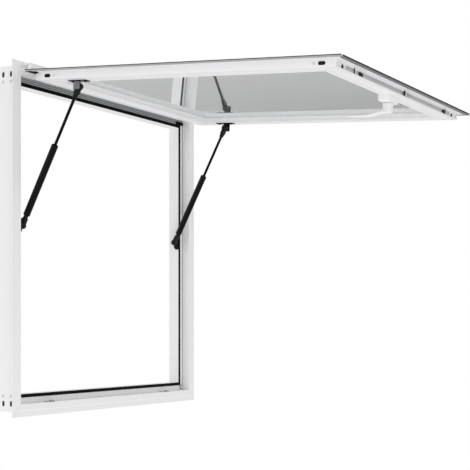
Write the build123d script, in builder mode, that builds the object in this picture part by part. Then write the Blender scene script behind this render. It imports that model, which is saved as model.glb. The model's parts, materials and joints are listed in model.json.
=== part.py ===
"""Top-hung concession window: a flanged frame, a glazed leaf on a hook hinge and two gas struts."""
from build123d import *
import math
import os

# Frame extrusion, mm
frame_width = 914.4
frame_height = 914.4
flange_overhang = 14.0
flange_thickness = 2.0
front_step = 1.0
front_bevel = 3.0
face_width = 33.0
rebate_depth = 24.0
stop_width = 24.0
frame_depth = 55.0
frame_wall = 2.0

# Seal on the stop
seal_width = 9.0
seal_height = 5.0
seal_round = 2.0

# Slots in the outer web of the jambs
web_slot_length = 14.7
web_slot_width = 8.0
web_slot_from_end = 34.8
web_row_front = 14.0
web_row_spacing = 25.0

# Hinge axis, from the flange's back face and the frame's top edge
hinge_out = 25.8
hinge_drop = 15.9
bead_radius = 4.5
bead_clearance = 0.3
bead_neck = 2.5
neck_clearance = 0.4
hook_wall = 2.4
hook_web = 5.0
hinge_arm = 2.6
arm_clearance = 0.6
hinge_base = 2.0
hinge_base_below = 6.0
hinge_base_above = 14.5
hinge_end_inset = 38.5
leg_length = 24.0

# Leaf, measured in its own plane from the hinge axis
leaf_slope = 3.25
skin_below_axis = 12.8
lip_thickness = 3.0
lip_side_margin = 5.2
lip_start = 11.5
lip_bottom_margin = 12.0
leaf_thickness = 21.5
leaf_clearance = 5.5
rail_width = 50.0
rail_wall = 2.0
glazing_return = 12.0
glazing_return_thickness = 2.0

# Drain slots in the stiles' outer faces and round holes in the free rail's groove
drain_slot_length = 15.0
drain_slot_width = 6.0
drain_slot_from_end = 36.0
end_hole_radius = 4.0
end_hole_inset = 40.0

# Glass and its gasket
glass_thickness = 5.0
glass_edge_clearance = 2.0
glazing_gasket_width = 4.0
glazing_gasket_height = 3.0

# Rubber trim on the lip's edge, with a strip under the lip
trim_thickness = 1.2
strip_thickness = 2.0
strip_width = 8.0
free_strip_width = 11.0

# Gas struts, in planes parallel to the jambs
strut_inset = 74.0
strut_lower_depth = 25.0
strut_lower_drop = 402.5
strut_upper_from_axis = 133.2
strut_upper_off_face = 14.7
barrel_radius = 9.0
barrel_wall = 1.2
barrel_end = 228.0
barrel_cap = 6.0
rod_radius = 4.0
rod_clearance = 0.3
rod_inside = 20.0
ball_radius = 5.0
ball_facets = 8
ball_clearance = 0.3
stud_radius = 3.0
socket_radius = 8.5
socket_width = 13.0
socket_neck_width = 11.0
socket_collar_radius = 6.2
socket_collar_length = 9.0
socket_length = 30.0

# Strut bracket on the leaf and strut foot on the jamb
bracket_length = 55.0
bracket_width = 20.0
bracket_plate = 2.5
bracket_side_clearance = 5.5
bracket_tab_width = 20.0
bracket_tab_length = 24.0
foot_length = 42.0
foot_width = 22.0
foot_corner = 6.0
foot_plate = 2.5
foot_boss_radius = 7.0
foot_boss_height = 3.0
foot_gap = 0.3

# Handle on the free rail
handle_base_length = 80.0
handle_base_width = 32.0
handle_base_height = 16.0
handle_base_sill_gap = 6.0
handle_neck_radius = 15.0
handle_neck_height = 17.0
handle_gap = 0.4
lever_length = 106.0
lever_width = 25.0
lever_tip_width = 14.0
lever_thickness = 9.0
lever_straight = 14.0
lever_rise = 9.0

# Lock bar in the groove of the free rail, between two fixed guides
groove_width = 10.0
groove_depth = 3.2
groove_to_face = 2.0
bar_clearance = 0.4
bar_thickness = 2.4
bar_travel = 15.0
bar_gap_left = 20.0
bar_gap_right = 5.0
guide_inset = 139.2
guide_length = 40.0
cam_radius = 3.5
cam_height = 3.6
latch_length = 35.0
latch_height = 2.4
latch_middle = 23.5

# Keepers on the sill, where the cams stand when the handle is turned to lock
keeper_inset = 165.2
keeper_length = 36.0
keeper_plate = 1.2
keeper_rim_length = 14.0
keeper_rim_thickness = 2.0
keeper_rim_height = 3.5
keeper_depth = 14.0
keeper_end_length = 10.0
keeper_end_depth = 4.0
keeper_end_height = 2.5

# Places that follow from the sizes above
front_face = -(flange_thickness + front_step)
sill_bottom = -flange_overhang / 2
frame_top = sill_bottom + frame_height
half_width = frame_width / 2
stop_front = front_face + rebate_depth
reveal_inset = face_width + stop_width
hinge_y = -hinge_out
hinge_z = frame_top - hinge_drop
lip_half = half_width - lip_side_margin
side_lip = face_width + leaf_clearance - lip_side_margin
top_box_start = face_width + leaf_clearance - hinge_drop
top_lip = top_box_start - lip_start
box_end = hinge_z - (sill_bottom + face_width + leaf_clearance)
lip_end = hinge_z - (sill_bottom + lip_bottom_margin)
free_lip = lip_end - box_end
box_half = lip_half - side_lip
skin = -skin_below_axis
inner_face = skin - leaf_thickness
side_face_middle = skin - (lip_thickness + leaf_thickness) / 2
groove_middle = inner_face + groove_to_face + groove_width / 2
glass_outer = skin - glazing_return_thickness
glass_inner = glass_outer - glass_thickness
strut_x = half_width - strut_inset
strut_lower_height = hinge_z - strut_lower_drop
reveal_x = half_width - reveal_inset
slope = math.radians(leaf_slope)
outward = Vector(0, -math.cos(slope), -math.sin(slope))
skin_normal = Vector(0, -math.sin(slope), math.cos(slope))
leaf_plane = Plane(origin=(0, hinge_y, hinge_z), x_dir=(1, 0, 0), z_dir=skin_normal)
section_at_hinge = Plane(origin=(0, hinge_y, hinge_z), x_dir=(0, 1, 0), z_dir=(1, 0, 0))
leaf_section = Plane(origin=(0, hinge_y, hinge_z), x_dir=-outward, z_dir=(1, 0, 0))

os.makedirs("parts", exist_ok=True)


def save(piece, label):
    """Label a finished piece and write it."""
    piece.part.label = label
    export_step(piece.part, f"parts/{label}.step")


def mitred(plane, section, length, width, own, start, end):
    """Run a section along the plane's normal and cut both ends at 45 degrees."""
    ground = Plane(origin=plane.origin, x_dir=plane.x_dir, z_dir=-plane.y_dir)
    with BuildPart() as member:
        with BuildSketch(plane):
            add(section)
        extrude(amount=length)
        with BuildSketch(ground):
            with BuildLine():
                Polyline(
                    (0, start - own),
                    (width, width + start - own),
                    (width, length - width - end + own),
                    (0, length - end + own),
                    close=True,
                )
            make_face()
        extrude(amount=2 * frame_depth, both=True, mode=Mode.INTERSECT)
    return member.part


def frame_section():
    """Hollow frame extrusion: x runs inward from the outer edge, y towards the room."""
    face_back = front_face + frame_wall
    with BuildSketch() as section:
        with BuildLine():
            Polyline(
                (0, -flange_thickness),
                (flange_overhang, -flange_thickness),
                (flange_overhang + front_bevel, front_face),
                (face_width, front_face),
                (face_width, stop_front),
                (reveal_inset, stop_front),
                (reveal_inset, frame_depth),
                (flange_overhang, frame_depth),
                (flange_overhang, 0),
                (0, 0),
                close=True,
            )
        make_face()
        with BuildLine():
            Polyline(
                (flange_overhang + frame_wall, face_back),
                (face_width - frame_wall, face_back),
                (face_width - frame_wall, stop_front + frame_wall),
                (reveal_inset - frame_wall, stop_front + frame_wall),
                (reveal_inset - frame_wall, frame_depth - frame_wall),
                (flange_overhang + frame_wall, frame_depth - frame_wall),
                close=True,
            )
        make_face(mode=Mode.SUBTRACT)
    return section.sketch


frame_sides = {
    "jamb_left": ((-half_width, 0, sill_bottom), (1, 0, 0), (0, 0, 1), frame_height),
    "jamb_right": ((half_width, 0, frame_top), (-1, 0, 0), (0, 0, -1), frame_height),
    "sill": ((half_width, 0, sill_bottom), (0, 0, 1), (-1, 0, 0), frame_width),
    "head": ((-half_width, 0, frame_top), (0, 0, -1), (1, 0, 0), frame_width),
}

# Frame members with their fixing slots, and the seal on each stop
seal_inset = reveal_inset - seal_width
for side, (corner, inward, run, length) in frame_sides.items():
    side_plane = Plane(origin=corner, x_dir=inward, z_dir=run)
    with BuildPart() as frame_member:
        add(mitred(side_plane, frame_section(), length, reveal_inset, 0, 0, 0))
        if side.startswith("jamb"):
            web_origin = side_plane.origin + side_plane.x_dir * flange_overhang
            web_plane = Plane(origin=web_origin, x_dir=run, z_dir=inward)
            rows = web_row_front if web_plane.y_dir.Y > 0 else -web_row_front - web_row_spacing
            row_middle = rows + web_row_spacing / 2
            with BuildSketch(web_plane):
                with Locations((length / 2, row_middle)):
                    with GridLocations(length - 2 * web_slot_from_end, web_row_spacing, 2, 2):
                        SlotOverall(web_slot_length, web_slot_width)
            extrude(amount=2 * frame_wall, mode=Mode.SUBTRACT)
    save(frame_member, f"frame_{side}")

    with BuildSketch() as seal_section:
        with Locations((seal_inset + seal_width / 2, stop_front - seal_height / 2)):
            Rectangle(seal_width, seal_height)
        fillet(seal_section.vertices().group_by(Axis.Y)[0], seal_round)
    with BuildPart() as seal:
        add(mitred(side_plane, seal_section.sketch, length, reveal_inset, 0, 0, 0))
    save(seal, f"frame_seal_{side}")

# Frame half of the hook hinge: base leg, arm over the top and round bead on the axis
hook_inner = bead_radius + bead_clearance
hook_outer = hook_inner + hook_wall
arm_bottom = hook_outer + arm_clearance
base_back = hinge_out + front_face
hinge_length = frame_width - 2 * hinge_end_inset
with BuildPart() as hinge_frame_half:
    with BuildSketch(section_at_hinge.offset(-hinge_length / 2)):
        Circle(bead_radius)
        with Locations((0, arm_bottom / 2)):
            Rectangle(bead_neck, arm_bottom)
        with Locations((-bead_neck / 2, arm_bottom)):
            Rectangle(base_back + bead_neck / 2, hinge_arm, align=(Align.MIN, Align.MIN))
        with Locations((base_back, -hinge_base_below)):
            Rectangle(hinge_base, hinge_base_below + hinge_base_above, align=(Align.MAX, Align.MIN))
    extrude(amount=hinge_length)
save(hinge_frame_half, "hinge_frame_half")

# Leaf half of the hook hinge: a hook round the bead, open where the bead's neck sweeps, on a web and leg
neck_angle = math.asin((bead_neck / 2 + neck_clearance) / hook_inner)
gap_from = -neck_angle
gap_to = math.pi / 2 - slope + neck_angle
gap_reach = 2 * hook_outer
leg_reach = lip_start + leg_length
with BuildPart() as hinge_leaf_half:
    with BuildSketch(leaf_section.offset(-hinge_length / 2)):
        Circle(hook_outer)
        with BuildLine():
            gap_points = [(0, 0)]
            for angle in (gap_from, (gap_from + gap_to) / 2, gap_to):
                gap_points.append((gap_reach * math.cos(angle), gap_reach * math.sin(angle)))
            Polyline(*gap_points, close=True)
        make_face(mode=Mode.SUBTRACT)
        with Locations((0, skin)):
            Rectangle(hook_web, skin_below_axis, align=(Align.MAX, Align.MIN))
            Rectangle(leg_reach, hook_wall, align=(Align.MAX, Align.MIN))
        Circle(hook_inner, mode=Mode.SUBTRACT)
    extrude(amount=hinge_length)
save(hinge_leaf_half, "hinge_leaf_half")


def leaf_point(x, from_axis, height):
    """Point of the leaf's plane: across, along the leaf from the hinge axis, above the skin side."""
    return leaf_plane.from_local_coords(Vector(x, -from_axis, height))


def leaf_direction(x, y, z):
    """Direction given in the leaf's own axes."""
    return leaf_plane.x_dir * x + leaf_plane.y_dir * y + leaf_plane.z_dir * z


def rail_section(lip_width, grooved):
    """Hollow leaf extrusion: x runs inward from the edge trim's outer face, y from the skin outward."""
    box_start = lip_width
    box_stop = lip_width + rail_width
    return_stop = box_stop + glazing_return
    with BuildSketch() as section:
        with BuildLine():
            Polyline(
                (trim_thickness, 0),
                (trim_thickness, -lip_thickness),
                (box_start, -lip_thickness),
                (box_start, -leaf_thickness),
                (box_stop, -leaf_thickness),
                (box_stop, -glazing_return_thickness),
                (return_stop, -glazing_return_thickness),
                (return_stop, 0),
                close=True,
            )
        make_face()
        with Locations((box_start + rail_wall, -leaf_thickness + rail_wall)):
            Rectangle(
                rail_width - 2 * rail_wall,
                leaf_thickness - lip_thickness - rail_wall,
                align=(Align.MIN, Align.MIN),
                mode=Mode.SUBTRACT,
            )
        if grooved:
            groove_bottom = -leaf_thickness + groove_to_face
            with Locations((box_start, groove_bottom - rail_wall)):
                Rectangle(
                    groove_depth + rail_wall,
                    groove_width + 2 * rail_wall,
                    align=(Align.MIN, Align.MIN),
                )
            with Locations((box_start, groove_bottom)):
                Rectangle(groove_depth, groove_width, align=(Align.MIN, Align.MIN), mode=Mode.SUBTRACT)
    return section.sketch


lip_span = 2 * lip_half
lip_length = lip_end - lip_start
leaf_sides = {
    "stile_left": ((-lip_half, lip_start), (1, 0), (0, -1), lip_length, side_lip, top_lip, free_lip),
    "stile_right": ((lip_half, lip_end), (-1, 0), (0, 1), lip_length, side_lip, free_lip, top_lip),
    "bottom_rail": ((-lip_half, lip_end), (0, 1), (1, 0), lip_span, free_lip, side_lip, side_lip),
    "top_rail": ((lip_half, lip_start), (0, -1), (-1, 0), lip_span, top_lip, side_lip, side_lip),
}


def leaf_side_plane(side, height):
    """Section plane of a leaf member: x inward, y along the skin's normal."""
    corner, inward, run = leaf_sides[side][:3]
    return Plane(
        origin=leaf_point(corner[0], corner[1], height),
        x_dir=leaf_direction(inward[0], inward[1], 0),
        z_dir=leaf_direction(run[0], run[1], 0),
    )


# Leaf members with their drain slots and holes, and the rubber trim on the edges of their lips
for side, (corner, inward, run, length, own, start, end) in leaf_sides.items():
    reach = own + rail_width + glazing_return
    member_plane = leaf_side_plane(side, skin)
    free_side = side == "bottom_rail"
    with BuildPart() as leaf_member:
        add(mitred(member_plane, rail_section(own, free_side), length, reach, own, start, end))
        if free_side:
            end_plane = Plane(
                origin=leaf_point(0, box_end, groove_middle), x_dir=(1, 0, 0), z_dir=-leaf_plane.y_dir
            )
            with BuildSketch(end_plane):
                with GridLocations(2 * (box_half - end_hole_inset), 1, 2, 1):
                    Circle(end_hole_radius)
            extrude(amount=groove_depth + 2 * rail_wall, both=True, mode=Mode.SUBTRACT)
        if side.startswith("stile"):
            slot_origin = leaf_point(-inward[0] * box_half, (top_box_start + box_end) / 2, side_face_middle)
            slot_plane = Plane(origin=slot_origin, x_dir=leaf_plane.y_dir, z_dir=(1, 0, 0))
            with BuildSketch(slot_plane):
                with GridLocations(box_end - top_box_start - 2 * drain_slot_from_end, 1, 2, 1):
                    SlotOverall(drain_slot_length, drain_slot_width)
            extrude(amount=2 * rail_wall, both=True, mode=Mode.SUBTRACT)
    save(leaf_member, f"leaf_{side}")

    strip_reach = free_strip_width if free_side else strip_width
    with BuildSketch() as trim_section:
        with BuildLine():
            Polyline(
                (0, 0),
                (trim_thickness, 0),
                (trim_thickness, -lip_thickness),
                (strip_reach, -lip_thickness),
                (strip_reach, -lip_thickness - strip_thickness),
                (0, -lip_thickness - strip_thickness),
                close=True,
            )
        make_face()
    with BuildPart() as lip_gasket:
        add(mitred(member_plane, trim_section.sketch, length, reach, own, start, end))
    save(lip_gasket, f"lip_gasket_{side}")

# Glass behind the return of the rails, and the gasket round its inner face
glass_half = box_half - rail_width - glass_edge_clearance
glass_from = top_box_start + rail_width + glass_edge_clearance
glass_to = box_end - rail_width - glass_edge_clearance
glass_middle = -(glass_from + glass_to) / 2
with BuildPart() as glass_pane:
    with BuildSketch(leaf_plane.offset(glass_inner)):
        with Locations((0, glass_middle)):
            Rectangle(2 * glass_half, glass_to - glass_from)
    extrude(amount=glass_thickness)
save(glass_pane, "glass_pane")

with BuildPart() as glazing_gasket:
    with BuildSketch(leaf_plane.offset(glass_inner - glazing_gasket_height)):
        with Locations((0, glass_middle)):
            opening_width = 2 * (glass_half + glass_edge_clearance)
            opening_length = glass_to - glass_from + 2 * glass_edge_clearance
            Rectangle(opening_width, opening_length)
            Rectangle(
                opening_width - 2 * glazing_gasket_width,
                opening_length - 2 * glazing_gasket_width,
                mode=Mode.SUBTRACT,
            )
    extrude(amount=glazing_gasket_height)
save(glazing_gasket, "glazing_gasket")

# Gas struts: lower ball on the jamb, upper ball under the leaf, rod end towards the leaf
strut_low = Vector(0, strut_lower_depth, strut_lower_height)
strut_top = leaf_point(0, strut_upper_from_axis, inner_face - strut_upper_off_face)
strut_axis = (strut_top - strut_low).normalized()
strut_span = (strut_top - strut_low).length
bore_radius = ball_radius + ball_clearance
foot_face = reveal_x - foot_plate - foot_boss_height - foot_gap
bracket_outer = reveal_x - bracket_side_clearance


def strut_socket(centre, towards, side):
    """Ball socket: round flat head with its neck, collar at the strut, bore open towards the jamb."""
    across = Vector(side, 0, 0)
    head_plane = Plane(origin=centre - across * socket_width / 2, x_dir=towards, z_dir=across)
    bore_plane = Plane(origin=centre - across * bore_radius, x_dir=towards, z_dir=across)
    neck_length = socket_length - socket_collar_length
    collar_plane = Plane(origin=centre + towards * neck_length, x_dir=across, z_dir=towards)
    with BuildPart() as socket:
        with BuildSketch(head_plane):
            Circle(socket_radius)
            Rectangle(neck_length, socket_neck_width, align=(Align.MIN, Align.CENTER))
        extrude(amount=socket_width)
        with BuildSketch(collar_plane):
            Circle(socket_collar_radius)
        extrude(amount=socket_collar_length)
        with BuildSketch(bore_plane):
            Circle(bore_radius)
        extrude(amount=socket_width, mode=Mode.SUBTRACT)
    return socket.part


def ball_stud(centre, across, length):
    """Ball with flat facets, on a stud that runs from its centre along the given direction."""
    with BuildPart() as stud:
        for number, way in enumerate((across, leaf_plane.y_dir, leaf_plane.z_dir)):
            side_on = leaf_plane.y_dir if number == 0 else across
            with BuildSketch(Plane(origin=centre - way * ball_radius, x_dir=side_on, z_dir=way)):
                RegularPolygon(ball_radius, ball_facets)
            extrude(amount=2 * ball_radius, mode=Mode.INTERSECT if number else Mode.ADD)
        with BuildSketch(Plane(origin=centre, x_dir=leaf_plane.y_dir, z_dir=across)):
            Circle(stud_radius)
        extrude(amount=length)
    return stud.part


for name, side in (("left", -1), ("right", 1)):
    low = strut_low + Vector(side * strut_x, 0, 0)
    top = strut_top + Vector(side * strut_x, 0, 0)
    across = Vector(side, 0, 0)

    with BuildPart() as lower_socket:
        add(strut_socket(low, strut_axis, side))
    save(lower_socket, f"strut_lower_socket_{name}")

    with BuildPart() as lower_stud:
        add(ball_stud(low, across, foot_face - strut_x))
    save(lower_stud, f"strut_lower_stud_{name}")

    with BuildPart() as barrel:
        with BuildSketch(Plane(origin=low + strut_axis * socket_length, x_dir=across, z_dir=strut_axis)):
            Circle(barrel_radius)
        extrude(amount=barrel_end - socket_length)
        cavity_start = low + strut_axis * (socket_length + barrel_cap)
        with BuildSketch(Plane(origin=cavity_start, x_dir=across, z_dir=strut_axis)):
            Circle(barrel_radius - barrel_wall)
        extrude(amount=barrel_end - socket_length - 2 * barrel_cap, mode=Mode.SUBTRACT)
        guide_start = low + strut_axis * (barrel_end - 2 * barrel_cap)
        with BuildSketch(Plane(origin=guide_start, x_dir=across, z_dir=strut_axis)):
            Circle(rod_radius + rod_clearance)
        extrude(amount=3 * barrel_cap, mode=Mode.SUBTRACT)
    save(barrel, f"strut_barrel_{name}")

    rod_start = low + strut_axis * (barrel_end - barrel_cap - rod_inside)
    rod_length = strut_span - socket_length - (barrel_end - barrel_cap - rod_inside)
    with BuildPart() as rod:
        with BuildSketch(Plane(origin=rod_start, x_dir=across, z_dir=strut_axis)):
            Circle(rod_radius)
        extrude(amount=rod_length)
    save(rod, f"strut_rod_{name}")

    with BuildPart() as upper_socket:
        add(strut_socket(top, -strut_axis, side))
    save(upper_socket, f"strut_upper_socket_{name}")

    bracket_middle = side * (bracket_outer - bracket_width / 2)
    tab_start = side * (bracket_outer - bracket_plate)
    with BuildPart() as bracket:
        with BuildSketch(leaf_plane.offset(inner_face - bracket_plate)):
            with Locations((bracket_middle, -strut_upper_from_axis)):
                Rectangle(bracket_width, bracket_length)
        extrude(amount=bracket_plate)
        tab_origin = leaf_point(tab_start, strut_upper_from_axis, inner_face - bracket_tab_length / 2)
        with BuildSketch(Plane(origin=tab_origin, x_dir=leaf_plane.y_dir, z_dir=across)):
            Rectangle(bracket_tab_width, bracket_tab_length)
        extrude(amount=bracket_plate)
        add(ball_stud(top, across, bracket_outer - bracket_plate - strut_x))
    save(bracket, f"strut_bracket_{name}")

    foot_origin = low + across * (reveal_x - foot_plate - strut_x)
    with BuildPart() as foot:
        with BuildSketch(Plane(origin=foot_origin, x_dir=(0, 0, 1), z_dir=across)) as foot_outline:
            Rectangle(foot_length, foot_width)
            chamfer(foot_outline.vertices(), foot_corner)
        extrude(amount=foot_plate)
        with BuildSketch(Plane(origin=foot_origin, x_dir=(0, 0, 1), z_dir=-across)):
            Circle(foot_boss_radius)
        extrude(amount=foot_boss_height)
    save(foot, f"strut_foot_{name}")

# Handle: base on the free rail's inner edge, neck and lever pointing to the hinge
base_to = hinge_z - (sill_bottom + reveal_inset + handle_base_sill_gap)
handle_from_axis = base_to - handle_base_width / 2
base_face = inner_face - handle_base_height
neck_face = base_face - handle_gap
with BuildPart() as handle_base:
    with BuildSketch(leaf_plane.offset(base_face)):
        with Locations((0, -handle_from_axis)):
            RectangleRounded(handle_base_length, handle_base_width, handle_base_width / 2 - 1)
    extrude(amount=handle_base_height)
save(handle_base, "handle_base")

neck_end = neck_face - handle_neck_height
rise_end = lever_straight + 4 * lever_rise
lever_plane = Plane(
    origin=leaf_point(0, handle_from_axis, neck_end), x_dir=leaf_plane.y_dir, z_dir=(1, 0, 0)
)
with BuildPart() as handle_lever:
    with BuildSketch(lever_plane):
        lever_end = lever_length + lever_tip_width
        with BuildLine():
            Polyline(
                (-lever_width, 0),
                (lever_straight, 0),
                (rise_end, -lever_rise),
                (lever_end, -lever_rise),
                (lever_end, -lever_rise - lever_thickness),
                (rise_end, -lever_rise - lever_thickness),
                (lever_straight, -lever_thickness),
                (-lever_width, -lever_thickness),
                close=True,
            )
        make_face()
    extrude(amount=lever_width, both=True)
    with BuildSketch(leaf_plane.offset(neck_end - lever_rise - lever_thickness)):
        with Locations((0, -handle_from_axis)):
            Circle(lever_width / 2)
        with BuildLine():
            lever_stop = -handle_from_axis + lever_length
            Polyline(
                (-lever_width / 2, -handle_from_axis),
                (lever_width / 2, -handle_from_axis),
                (lever_tip_width / 2, lever_stop),
                (-lever_tip_width / 2, lever_stop),
                close=True,
            )
        make_face()
        with Locations((0, lever_stop)):
            Circle(lever_tip_width / 2)
    extrude(amount=lever_rise + lever_thickness, mode=Mode.INTERSECT)
    with BuildSketch(leaf_plane.offset(neck_end)):
        with Locations((0, -handle_from_axis)):
            Circle(handle_neck_radius)
    extrude(amount=handle_neck_height)
save(handle_lever, "handle_lever")

# Lock bar in the groove between its guides, its roller cams and latch, and the keepers on the sill
groove_floor = Plane(
    origin=leaf_point(0, box_end - groove_depth, groove_middle), x_dir=(1, 0, 0), z_dir=-leaf_plane.y_dir
)
bar_plane = groove_floor.offset(bar_clearance)
cam_plane = bar_plane.offset(bar_thickness)
bar_width = groove_width - 2 * bar_clearance
bar_from = -(half_width - guide_inset) + bar_gap_left
bar_to = half_width - guide_inset - bar_gap_right
face_over_bar = groove_depth - bar_clearance - bar_thickness
with BuildPart() as lock_bar:
    with BuildSketch(bar_plane):
        with Locations((bar_from, 0)):
            Rectangle(bar_to - bar_from, bar_width, align=(Align.MIN, Align.CENTER))
    extrude(amount=bar_thickness)
save(lock_bar, "lock_bar")

with BuildPart() as latch_block:
    with BuildSketch(cam_plane):
        with Locations((latch_middle, 0)):
            Rectangle(latch_length, bar_width)
    extrude(amount=face_over_bar + latch_height)
save(latch_block, "latch_block")

sill_face = sill_bottom + face_width
for name, side in (("left", -1), ("right", 1)):
    with BuildPart() as guide:
        with BuildSketch(groove_floor):
            with Locations((side * (half_width - guide_inset + guide_length / 2), 0)):
                Rectangle(guide_length, groove_width)
        extrude(amount=groove_depth)
    save(guide, f"lock_guide_{name}")

    keeper_x = side * (half_width - keeper_inset)
    with BuildPart() as cam:
        with BuildSketch(cam_plane):
            with Locations((keeper_x + bar_travel, 0)):
                Circle(cam_radius)
        extrude(amount=face_over_bar + cam_height)
    save(cam, f"roller_cam_{name}")

    keeper_corner = (keeper_x + keeper_length / 2, front_face + keeper_depth, sill_face)
    with BuildPart() as keeper:
        with BuildSketch(Plane(origin=keeper_corner, z_dir=(0, 0, 1))):
            Rectangle(keeper_end_length, keeper_end_depth, align=(Align.MAX, Align.MAX))
        extrude(amount=keeper_plate + keeper_end_height)
        with BuildSketch(Plane(origin=(keeper_x, front_face, sill_face), z_dir=(0, 0, 1))):
            Rectangle(keeper_length, keeper_depth, align=(Align.CENTER, Align.MIN))
            Rectangle(keeper_rim_length, keeper_rim_thickness, align=(Align.CENTER, Align.MAX))
        extrude(amount=keeper_plate)
        with BuildSketch(Plane(origin=(keeper_x, front_face, sill_face), z_dir=(0, 0, 1))):
            Rectangle(keeper_rim_length, keeper_rim_thickness, align=(Align.CENTER, Align.MAX))
        extrude(amount=keeper_rim_height)
    save(keeper, f"lock_keeper_{name}")
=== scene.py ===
"""Finishes, screws and studio for a top-hung concession window with gas struts."""

import json
import math

import bmesh
import bpy
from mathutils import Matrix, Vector


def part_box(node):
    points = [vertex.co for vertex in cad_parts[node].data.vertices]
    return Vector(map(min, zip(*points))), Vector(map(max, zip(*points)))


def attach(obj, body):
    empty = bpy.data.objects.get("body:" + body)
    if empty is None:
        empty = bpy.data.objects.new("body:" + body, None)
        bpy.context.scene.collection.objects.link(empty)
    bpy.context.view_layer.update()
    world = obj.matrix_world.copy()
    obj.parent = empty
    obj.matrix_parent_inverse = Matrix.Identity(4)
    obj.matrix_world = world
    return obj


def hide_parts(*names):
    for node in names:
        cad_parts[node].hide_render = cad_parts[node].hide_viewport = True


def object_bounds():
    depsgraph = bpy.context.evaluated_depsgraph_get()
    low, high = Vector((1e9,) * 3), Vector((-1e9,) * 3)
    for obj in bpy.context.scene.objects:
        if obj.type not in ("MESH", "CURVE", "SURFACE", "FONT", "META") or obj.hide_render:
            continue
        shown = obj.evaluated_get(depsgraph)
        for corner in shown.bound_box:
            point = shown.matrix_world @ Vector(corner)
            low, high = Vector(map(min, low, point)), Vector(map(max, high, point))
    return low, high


bl_info = {
    "name": "Concession window",
    "version": (1, 0, 0),
    "blender": (4, 5, 0),
    "location": "View3D > Sidebar > Window",
    "description": "Dresses the frame, the glazed leaf, the struts and the lock of a serving window",
    "category": "Object",
}

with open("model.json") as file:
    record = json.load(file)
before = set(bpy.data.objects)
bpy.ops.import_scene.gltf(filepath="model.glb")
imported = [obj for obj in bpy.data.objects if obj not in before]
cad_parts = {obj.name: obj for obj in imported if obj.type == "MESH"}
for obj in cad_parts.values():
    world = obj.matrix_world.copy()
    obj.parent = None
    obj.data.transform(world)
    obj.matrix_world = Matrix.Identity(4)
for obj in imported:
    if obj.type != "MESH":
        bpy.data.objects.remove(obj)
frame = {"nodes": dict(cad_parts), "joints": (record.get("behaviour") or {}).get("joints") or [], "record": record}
cad = frame["nodes"]
joints = {joint["name"]: joint for joint in frame["joints"]}
solid_low, solid_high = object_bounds()

MM = 0.001
hinge_axis = Vector(joints["leaf_hinge"]["pos_m"])
skin_normal = -Vector(joints["handle_turn"]["axis"]).normalized()
across = Vector((1, 0, 0))
inside = Vector((0, 1, 0))
upward = Vector((0, 0, 1))
outward = across.cross(skin_normal)
SIDES = (("left", -1), ("right", 1))

# The frame is square, and each side has its way inward and the way it runs
frame_low, frame_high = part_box("frame_sill")[0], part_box("frame_head")[1]
half_frame = frame_high.x
stop_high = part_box("frame_seal_sill")[1]
stop_front = stop_high.y
reveal_inset = stop_high.z - frame_low.z
seal_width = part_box("frame_seal_jamb_left")[1].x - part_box("frame_seal_jamb_left")[0].x
frame_middle = Vector((0, 0, (frame_low.z + frame_high.z) / 2))
FRAME_SIDES = {
    "sill": (upward, across),
    "head": (-upward, across),
    "jamb_left": (across, upward),
    "jamb_right": (-across, upward),
}

# Places on the sections: in from the frame's outer edge, out from the hinge axis, and up from it
web_inset, face_inset = 14 * MM, 33 * MM
lip_inset, box_inset, opening_inset = 6.7 * MM, 38.5 * MM, 88.5 * MM
lip_start, box_start, opening_start = 13 * MM, 22.6 * MM, 72.6 * MM
opening_end, box_end, lip_end = 810 * MM, 860 * MM, 885 * MM
skin_level, flank_level = -12.8 * MM, -25.05 * MM
groove_level, inner_level = -27.3 * MM, -34.3 * MM


def linear(code):
    """Linear colour of an sRGB hex code."""
    parts = [int(code[i : i + 2], 16) / 255 for i in (0, 2, 4)]
    return [c / 12.92 if c <= 0.04045 else ((c + 0.055) / 1.055) ** 2.4 for c in parts]


def colour(name, what, code):
    """Colour property with its default as a hex code."""
    return bpy.props.FloatVectorProperty(
        name=name, description=what, subtype="COLOR", size=3, min=0, max=1, default=linear(code)
    )


def length(name, what, value):
    """Length property, default in millimetres."""
    return bpy.props.FloatProperty(
        name=name, description=what, default=value * MM, min=0, unit="LENGTH", precision=4
    )


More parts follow.
